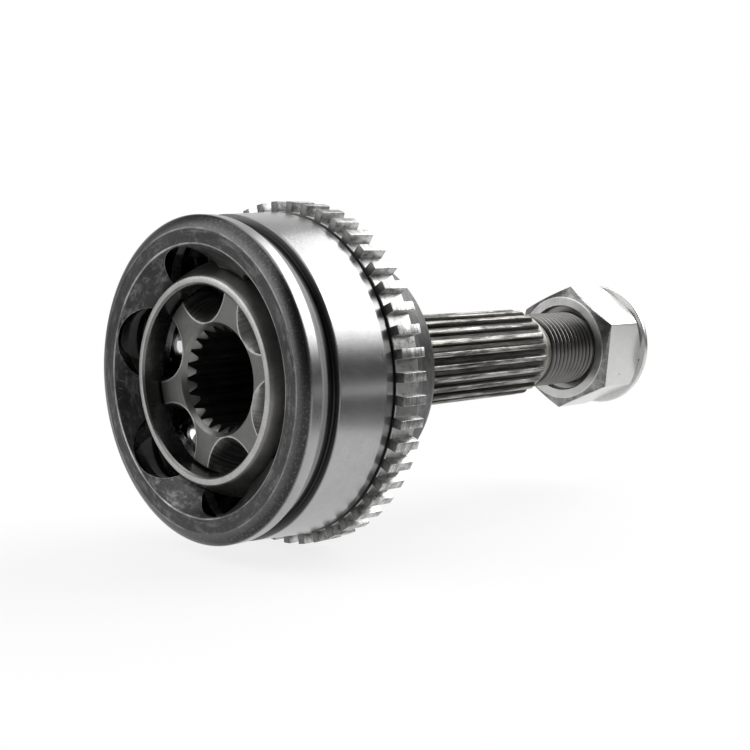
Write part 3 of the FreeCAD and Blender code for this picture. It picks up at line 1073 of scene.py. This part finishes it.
@dataclass
class BallBell:
    """The bell of the outer race, from its mouth to the collar of the stub."""

    tracks: Tracks
    steps: int = 240
    track_ring: float = 29.25
    funnel_offset: float = -3.0
    track_start: float = 25.0
    track_end: float = -75.0
    seat_radius: float = 33.2
    floor_x: float = 27.2
    flare_start_x: float = -14.88
    edge_round: float = 0.22
    outside: Outline = field(
        default_factory=lambda: [
            (-20.85, 35.65), (-21.0, 35.9), (-21.0, 39.6), (-20.88, 40.3), (-20.55, 41.1),
            (-20.05, 41.95), (-19.5, 42.65), (-19.1, 43.05), (-18.85, 43.2), (-15.65, 43.2),
            (-15.45, 43.1), (-13.15, 41.52), (-12.85, 41.4), (-10.3, 41.4), (-10.0, 41.6),
            (-9.85, 43.05), (-9.65, 43.3), (5.5, 44.08), (5.75, 44.08), (8.4, 43.73),
            (8.6, 43.5), (8.6, 41.4), (18.4, 41.4), (19.0, 41.1), (29.0, 34.6), (35.3, 32.3),
            (36.6, 31.7), (37.7, 31.0), (38.0, 30.5), (38.0, 19.6), (38.6, 19.5), (38.6, 15.6),
            (43.6, 15.6), (44.0, 15.2), (44.0, 12.6), (44.2, 12.4), (47.0, 12.4), (47.0, 0.0),
        ]
    )

    def build(self) -> Thing:
        """Turn the bell and cut its tracks.

        Returns:
            The bell.
        """
        floor_radius = math.sqrt(self.seat_radius**2 - self.floor_x**2)
        seat = arc(self.seat_radius, self.floor_x, self.flare_start_x, 30)
        inside = [(self.floor_x, 0.0), (self.floor_x, floor_radius - 0.5), *seat]
        bell = turn_outline("bell_forging", inside + self.outside, self.steps, closed=False)
        for offset, start, blind in ((0.0, self.track_start, True), (self.funnel_offset, 0.0, False)):
            carve(bell, self.tracks.tool(self.track_ring, offset, start, self.track_end, blind))
        tidy_cut(bell)
        round_edges(bell, self.edge_round, CUT_ANGLE)
        smooth(bell)
        return bell

    def dress(self, bell: Thing) -> None:
        """Give the bell its steel."""
        steel = BellFinish().build(self.tracks, self.track_ring, self.funnel_offset)
        mount(bell, steel, Body.BELL, "outer_race")


@dataclass
class StubShaft:
    """The splined and threaded stub that goes through the wheel hub."""

    steps: int = 176
    tooth_count: int = 22
    start_x: float = 46.5
    spline_end_x: float = 110.6
    root_radius: float = 12.45
    crest_radius: float = 13.8
    tooth_base: float = 2.5
    tooth_crest: float = 1.3
    crest_round: float = 0.32
    phase: float = 4.5
    run_out: float = 1.7
    pitch: float = 2.0
    thread_turns: int = 18
    thread_start_x: float = 115.2
    thread_steps: int = 90
    core: Outline = field(
        default_factory=lambda: [
            (46.0, 0.0), (46.0, 12.45), (112.2, 12.45), (114.2, 11.1), (114.6, 10.85),
            (153.9, 10.85), (154.95, 10.6), (155.0, 10.45), (155.0, 3.4), (153.0, 2.1),
            (148.5, 2.0), (147.3, 0.0),
        ]
    )
    rib: Outline = field(
        default_factory=lambda: [(0.0, 10.62), (0.86, 11.98), (1.1, 11.98), (1.96, 10.62)]
    )

    def build(self) -> list[Thing]:
        """Build the splined part and the threaded part.

        Returns:
            The splines with the stub's core, and the thread.
        """
        core = turn_outline("stub_splines", self.core, self.steps, closed=False)
        smooth(core)
        return [join(core, self.teeth()), self.thread()]

    def teeth(self) -> Thing:
        """Model one spline tooth, round its crest and run-out, and repeat it.

        Returns:
            All teeth in one object.
        """
        tooth = block(
            "spline_tooth",
            (self.start_x, self.spline_end_x),
            self.tooth_base,
            (self.root_radius - 0.25, self.crest_radius),
        )
        top = (self.crest_radius - NEAR) * MM
        far = (self.spline_end_x - NEAR) * MM
        shrink(tooth, lambda place: place.z > top, 1, self.tooth_crest / self.tooth_base)
        with editing(tooth):
            select_edges(tooth, lambda a, b: min(a.z, b.z) > top and min(a.x, b.x) > far)
            bpy.ops.mesh.bevel(offset=self.run_out * MM, segments=6, affect="EDGES")
        round_edges(tooth, self.crest_round, 28, 3)
        smooth(tooth, TOOTH_ANGLE)
        return repeat_round_axis(tooth, self.tooth_count, 180 / self.tooth_count + self.phase)

    def thread(self) -> Thing:
        """Draw the section of the thread's rib and screw it along the stub.

        Returns:
            The thread.
        """
        rib = [(self.thread_start_x + x, radius) for x, radius in [*self.rib, self.rib[0]]]
        thread = draw_outline("stub_thread", rib)
        settings = {"screw_offset": self.pitch * MM, "iterations": self.thread_turns}
        steps = self.thread_steps
        modify(thread, "SCREW", axis="X", steps=steps, render_steps=steps, **settings)
        with editing(thread, whole=True):
            bpy.ops.mesh.fill_holes(sides=0)
            face_outwards()
        smooth(thread, 30)
        return thread

    def dress(self, splines: Thing, thread: Thing) -> None:
        """Give splines and thread their steels."""
        mount(splines, SplineFinish().build(), Body.BELL, "outer_race")
        mount(thread, ThreadFinish().build(), Body.BELL, "outer_race")


@dataclass
class SignalRing:
    """The toothed ring that a wheel-speed sensor reads, pressed on the bell."""

    steps: int = 288
    tooth_count: int = 48
    first_tooth: float = 4.85
    span: tuple[float, float] = (8.9, 17.2)
    seat_radius: float = 41.4
    root_radius: float = 44.3
    tip_radius: float = 46.98
    tooth_width: float = 2.62
    tip_width: float = 2.44
    edge_round: float = 0.16

    def build(self) -> Thing:
        """Turn the ring and set its teeth on it.

        Returns:
            The ring.
        """
        front, back = self.span
        outline = [
            (front, self.seat_radius),
            (front, self.root_radius - 0.25),
            (front + 0.2, self.root_radius),
            (back - 0.2, self.root_radius),
            (back, self.root_radius - 0.25),
            (back, self.seat_radius),
        ]
        ring = turn_outline("signal_ring", outline, self.steps)
        smooth(ring)
        return join(ring, self.teeth())

    def teeth(self) -> Thing:
        """Model one tooth with worn edges and repeat it.

        Returns:
            All teeth in one object.
        """
        tooth = block(
            "ring_tooth", self.span, self.tooth_width, (self.root_radius - 0.4, self.tip_radius)
        )
        top = (self.tip_radius - NEAR) * MM
        shrink(tooth, lambda place: place.z > top, 1, self.tip_width / self.tooth_width)
        round_edges(tooth, self.edge_round, 30, 3)
        smooth(tooth, TOOTH_ANGLE)
        return repeat_round_axis(tooth, self.tooth_count, self.first_tooth)

    def dress(self, ring: Thing) -> None:
        """Give the ring its plating."""
        mount(ring, RingFinish().build(), Body.BELL, "abs_ring")


@dataclass
class BallCage:
    """The spherical cage that holds the six balls in one plane."""

    tracks: Tracks
    steps: int = 192
    outer_radius: float = 33.0
    inner_radius: float = 28.0
    bore_radius: float = 25.1
    front_x: float = -18.7
    back_x: float = 14.5
    edge: float = 0.5
    window: tuple[float, float] = (17.8, 20.6)
    window_radii: tuple[float, float] = (16.0, 45.0)
    window_corner: float = 3.5
    edge_round: float = 0.2

    def build(self) -> Thing:
        """Turn the cage and cut its windows.

        Returns:
            The cage.
        """
        inner_x = math.sqrt(self.inner_radius**2 - self.bore_radius**2)
        rim = math.sqrt(self.outer_radius**2 - self.front_x**2)
        tail = math.sqrt(self.outer_radius**2 - self.back_x**2)
        outline = [
            (self.front_x + self.edge, self.bore_radius),
            (self.front_x, self.bore_radius + self.edge),
            (self.front_x, rim - 0.15),
            *arc(self.outer_radius, self.front_x + 0.12, self.back_x - 0.12, 30),
            (self.back_x, tail - 0.2),
            (self.back_x, self.bore_radius + self.edge),
            (self.back_x - self.edge, self.bore_radius),
            *arc(self.inner_radius, inner_x, -inner_x, 24),
        ]
        cage = turn_outline("ball_cage", outline, self.steps)
        carve(cage, self.window_tool())
        tidy_cut(cage)
        round_edges(cage, self.edge_round, CUT_ANGLE)
        smooth(cage)
        return cage

    def window_tool(self) -> Thing:
        """Model one window as a block with round corners and repeat it.

        Returns:
            The tool that cuts all windows.
        """
        length, width = self.window
        tool = block("window_tool", (-length / 2, length / 2), width, self.window_radii)
        with editing(tool):
            select_edges(tool, lambda a, b: abs(a.z - b.z) > NEAR * MM)
            bpy.ops.mesh.bevel(offset=self.window_corner * MM, segments=8, affect="EDGES")
        return repeat_round_axis(tool, self.tracks.count, self.tracks.phase - 90)

    def dress(self, cage: Thing) -> None:
        """Give the cage its hardened steel."""
        mount(cage, CageFinish().build(), Body.CAGE, "cage")


@dataclass
class InnerRace:
    """The star-shaped race that slides on the driveshaft's splines."""

    tracks: Tracks
    steps: int = 220
    track_ring: float = 30.75
    track_reach: float = 52.0
    radius: float = 27.8
    half_width: float = 13.5
    bore_radius: float = 14.2
    mouth_radius: float = 15.2
    mouth_depth: float = 3.4
    tooth_count: int = 22
    tooth_tip_radius: float = 12.8
    tooth_base: float = 3.9
    tooth_tip: float = 1.05
    tooth_sunk: float = 0.2
    phase: float = 4.5
    tooth_round: float = 0.1
    edge_round: float = 0.18

    def build(self) -> Thing:
        """Turn the race, cut its tracks and set the bore's teeth in it.

        Returns:
            The race.
        """
        half = self.half_width
        land = math.sqrt(self.radius**2 - half**2)
        entry = (self.mouth_radius - self.bore_radius) * self.mouth_slope()
        outline = [
            (-half, self.mouth_radius),
            (-half, land - 0.15),
            *arc(self.radius, -half + 0.1, half - 0.1, 24),
            (half, land - 0.15),
            (half, self.mouth_radius),
            (half - entry, self.bore_radius),
            (entry - half, self.bore_radius),
        ]
        race = turn_outline("inner_race_star", outline, self.steps)
        reach = self.track_reach
        carve(race, self.tracks.tool(self.track_ring, 0.0, reach, -reach, False))
        tidy_cut(race)
        round_edges(race, self.edge_round, CUT_ANGLE)
        smooth(race)
        return join(race, self.teeth())

    def mouth_slope(self) -> float:
        """Return how far the bore's mouth runs along the axis while it narrows by one."""
        return self.mouth_depth / (self.mouth_radius - self.tooth_tip_radius)

    def teeth(self) -> Thing:
        """Model one pointed tooth of the bore, with sloped ends, and repeat it.

        Returns:
            All teeth in one object.
        """
        base = self.bore_radius + self.tooth_sunk
        half = self.half_width - (self.mouth_radius - base) * self.mouth_slope()
        tooth = block("bore_tooth", (-half, half), self.tooth_base, (self.tooth_tip_radius, base))
        tip = (self.tooth_tip_radius + NEAR) * MM
        slope = (self.half_width - self.mouth_depth) / half
        shrink(tooth, lambda place: place.z < tip, slope, self.tooth_tip / self.tooth_base)
        round_edges(tooth, self.tooth_round, 28)
        smooth(tooth, TOOTH_ANGLE)
        return repeat_round_axis(tooth, self.tooth_count, 180 / self.tooth_count + self.phase)

    def dress(self, race: Thing) -> None:
        """Give the race its steel."""
        steel = RaceFinish().build(self.tracks, self.track_ring)
        mount(race, steel, Body.RACE, "inner_race")


@dataclass
class BallSet:
    """The six bearing balls, whose solids in the frame are already right."""

    count: int = 6

    def dress(self) -> None:
        """Polish every ball of the frame."""
        steel = BallFinish().build()
        for number in range(1, self.count + 1):
            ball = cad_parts[f"ball_{number}"]
            ball.data.materials.clear()
            ball.data.materials.append(steel)
            LOG.info("%s: polished", ball.name)


@dataclass
class HubNut:
    """The hexagonal nut that clamps the joint in the hub."""

    steps: int = 240
    collar_steps: int = 160
    span: tuple[float, float] = (134.8, 155.3)
    across_flats: float = 36.0
    corner_radius: float = 20.9
    phase: float = 36.0
    face_radius: float = 17.0
    chamfer: float = 2.5
    far_face_radius: float = 18.0
    far_chamfer: float = 3.8
    recess_radius: float = 14.0
    recess_depth: float = 2.6
    thread_radius: float = 12.05
    edge_bevel: float = 0.3
    edge_round: float = 0.2
    collar: Outline = field(
        default_factory=lambda: [
            (154.9, 12.05), (155.3, 17.6), (155.3, 19.9), (155.45, 20.12), (155.7, 20.2),
            (156.5, 20.2), (156.78, 20.1), (156.9, 19.85), (156.9, 12.9), (156.1, 12.05),
        ]
    )

    def build(self) -> Thing:
        """Turn the chamfered, bored blank, keep what a hexagon leaves of it and add the collar.

        Returns:
            The nut.
        """
        front, back = self.span
        bevel = self.edge_bevel
        outline = [
            (front, self.recess_radius + bevel),
            (front, self.face_radius),
            (front + self.chamfer, self.corner_radius),
            (back - self.far_chamfer, self.corner_radius),
            (back, self.far_face_radius),
            (back + bevel, self.far_face_radius - bevel),
            (back + bevel, self.thread_radius),
            (front + self.recess_depth, self.thread_radius),
            (front + self.recess_depth, self.recess_radius),
            (front + bevel, self.recess_radius),
        ]
        nut = turn_outline("hub_nut_hexagon", outline, self.steps)
        unselect_all()
        corner = self.across_flats / 2 / math.cos(math.pi / 6)
        bpy.ops.mesh.primitive_cylinder_add(
            vertices=6,
            radius=corner * MM,
            depth=(back - front + 4) * MM,
            location=((front + back) / 2 * MM, 0, 0),
            rotation=(0, QUARTER, 0),
        )
        hexagon = turn_about_axis(settle(newest("hexagon_tool")), self.phase)
        carve(nut, hexagon, CutMode.KEEP_COMMON)
        tidy_cut(nut)
        round_edges(nut, self.edge_round, 24, 3)
        smooth(nut, 24)
        collar = turn_outline("nut_collar", self.collar, self.collar_steps)
        smooth(collar)
        return join(nut, collar)

    def dress(self, nut: Thing) -> None:
        """Give the nut its zinc plating."""
        mount(nut, NutFinish().build(), Body.NUT, "hub_nut")


@dataclass(frozen=True)
class SoftBox:
    """A rectangular lamp that is aimed at the joint."""

    name: str
    place: tuple[float, float, float]
    size: tuple[float, float]
    watts: float
    aim: tuple[float, float, float] = (0.04, 0, 0)

    def build(self) -> None:
        """Hang the lamp."""
        unselect_all()
        heading = Vector(self.aim) - Vector(self.place)
        turn = heading.to_track_quat("-Z", "Y").to_euler()
        bpy.ops.object.light_add(type="AREA", location=self.place, rotation=turn)
        lamp = bpy.context.view_layer.objects.active
        lamp.name = self.name
        lamp.data.shape = "RECTANGLE"
        lamp.data.size, lamp.data.size_y = self.size
        lamp.data.energy = self.watts
        lamp.visible_camera = False
        LOG.info("%s: %.0f W", self.name, self.watts)


@dataclass
class Studio:
    """The floor, the card, the walls round them, the lamps and the camera."""

    floor_z: float = -0.0471
    floor_x: float = 0.05
    floor_radius: float = 0.6
    shadow_share: float = 0.2
    shadow_fade: tuple[float, float] = (0.12, 0.28)
    wall_radius: float = 2.4
    camera_place: tuple[float, float, float] = (-0.24103, -0.28487, 0.03757)
    camera_heading: tuple[float, float, float] = (0.7059, 0.70124, -0.09984)
    lens: float = 66.48
    card_place: tuple[float, float, float] = (0.04, -0.1, -0.0295)
    card_turn: float = 38.0
    card_size: tuple[float, float] = (0.11, 0.034)
    lamps: tuple[SoftBox, ...] = (
        SoftBox("key_softbox", (0.809, -0.232, 0.611), (1.24, 0.72), 10.0),
        SoftBox("top_softbox", (-0.15, 0.1, 0.95), (0.9, 0.9), 3.0),
        SoftBox("front_softbox", (-0.62, 0.36, 0.46), (0.85, 0.85), 4.0),
    )

    def build(self) -> None:
        """Set up everything that isn't part of the joint."""
        self.build_camera()
        self.build_floor()
        self.build_card()
        self.build_walls()
        self.build_world()
        for lamp in self.lamps:
            lamp.build()

    def build_camera(self) -> None:
        """Put the camera where the photograph was taken from."""
        unselect_all()
        turn = Vector(self.camera_heading).to_track_quat("-Z", "Y").to_euler()
        bpy.ops.object.camera_add(location=self.camera_place, rotation=turn)
        camera = bpy.context.view_layer.objects.active
        camera.name = "photo_camera"
        camera.data.sensor_width = 36
        camera.data.lens = self.lens
        camera.data.clip_start = 0.01
        bpy.context.scene.camera = camera

    def build_floor(self) -> None:
        """Lay the pale floor, which keeps the joint's shadow."""
        unselect_all()
        bpy.ops.mesh.primitive_circle_add(
            vertices=96,
            radius=self.floor_radius,
            fill_type="NGON",
            location=(self.floor_x, 0, self.floor_z),
        )
        floor = settle(newest("studio_floor"))
        sheet = Sheet("floor_paper")
        sheet.shader.inputs["Roughness"].default_value = 0.9
        sheet.fill(sheet.shader.inputs["Base Color"], grey(0.9))
        seen = 0
        for ray in ("Camera", "Glossy", "Transmission"):
            seen = sheet.node("ShaderNodeLightPath", output=f"Is {ray} Ray").at_least(seen)
        lit = Value(sheet, sheet.shader.outputs[0])
        along = sheet.x - self.floor_x / MM
        start, end = (reach / MM for reach in self.shadow_fade)
        away = (along * along + sheet.y * sheet.y).root().rise(start, end)
        shadow = self.shadow_share - away * self.shadow_share
        layers = {0: seen * (1 - shadow), 1: lit, 2: sheet.glow(grey(1))}
        sheet.cover(floor, sheet.node("ShaderNodeMixShader", values=layers))

    def build_card(self) -> None:
        """Stand a grey card beside the bell, which its flank reflects low down."""
        unselect_all()
        turn = (QUARTER, 0, math.radians(self.card_turn))
        bpy.ops.mesh.primitive_plane_add(size=1, location=self.card_place, rotation=turn)
        card = newest("grey_card")
        card.scale = (*self.card_size, 1)
        settle(card)
        sheet = Sheet("grey_card_paper")
        sheet.cover(card, sheet.glow(sheet.z.fall(-46, -20) * 0.25 + 0.15))
        card.visible_camera = False
        card.visible_diffuse = False
        card.visible_shadow = False

    def build_walls(self) -> None:
        """Build the round room that the metal reflects: bright above and behind, dim in front."""
        unselect_all()
        bpy.ops.mesh.primitive_uv_sphere_add(segments=48, ring_count=24, radius=self.wall_radius)
        walls = newest("studio_walls")
        smooth(walls)
        sheet = Sheet("studio_walls_paint")
        heading = sheet.node("ShaderNodeVectorMath", {"operation": "NORMALIZE"}, {0: sheet.place})
        up = sheet.part(heading, "Z")
        side = sheet.part(heading, "X")
        depth = sheet.part(heading, "Y")
        behind = (side + depth).rise(0.75, 1.3) * 0.9
        left = (depth - side).rise(0.4, 1.3) * 0.45
        above = up.rise(0.12, 0.45) * side.rise(-0.1, 0.45) * 0.6
        front = (side + depth).fall(-1.35, -0.8) * 0.15
        level = above.at_least(behind).at_least(left).at_least(front).at_least(0.05)
        level = level.at_least(up.fall(-0.5, -0.12) * 0.5)
        sheet.cover(walls, sheet.glow(level))
        walls.visible_camera = False
        walls.visible_shadow = False

    def build_world(self) -> None:
        """Make the background white and keep the picture's colours plain."""
        world = bpy.data.worlds.new("white_background")
        world.use_nodes = True
        backdrop = world.node_tree.nodes["Background"]
        backdrop.inputs["Color"].default_value = (1, 1, 1, 1)
        backdrop.inputs["Strength"].default_value = 1
        bpy.context.scene.world = world
        bpy.context.scene.view_settings.view_transform = "Standard"


def main() -> None:
    """Build every sub-assembly in order and report each."""
    logging.basicConfig(level=logging.INFO, format="%(message)s")
    Studio().build()
    tracks = Tracks()
    bell = BallBell(tracks)
    bell.dress(bell.build())
    stub = StubShaft()
    stub.dress(*stub.build())
    ring = SignalRing()
    ring.dress(ring.build())
    cage = BallCage(tracks)
    cage.dress(cage.build())
    race = InnerRace(tracks)
    race.dress(race.build())
    BallSet().dress()
    nut = HubNut()
    nut.dress(nut.build())


if __name__ == "__main__":
    main()
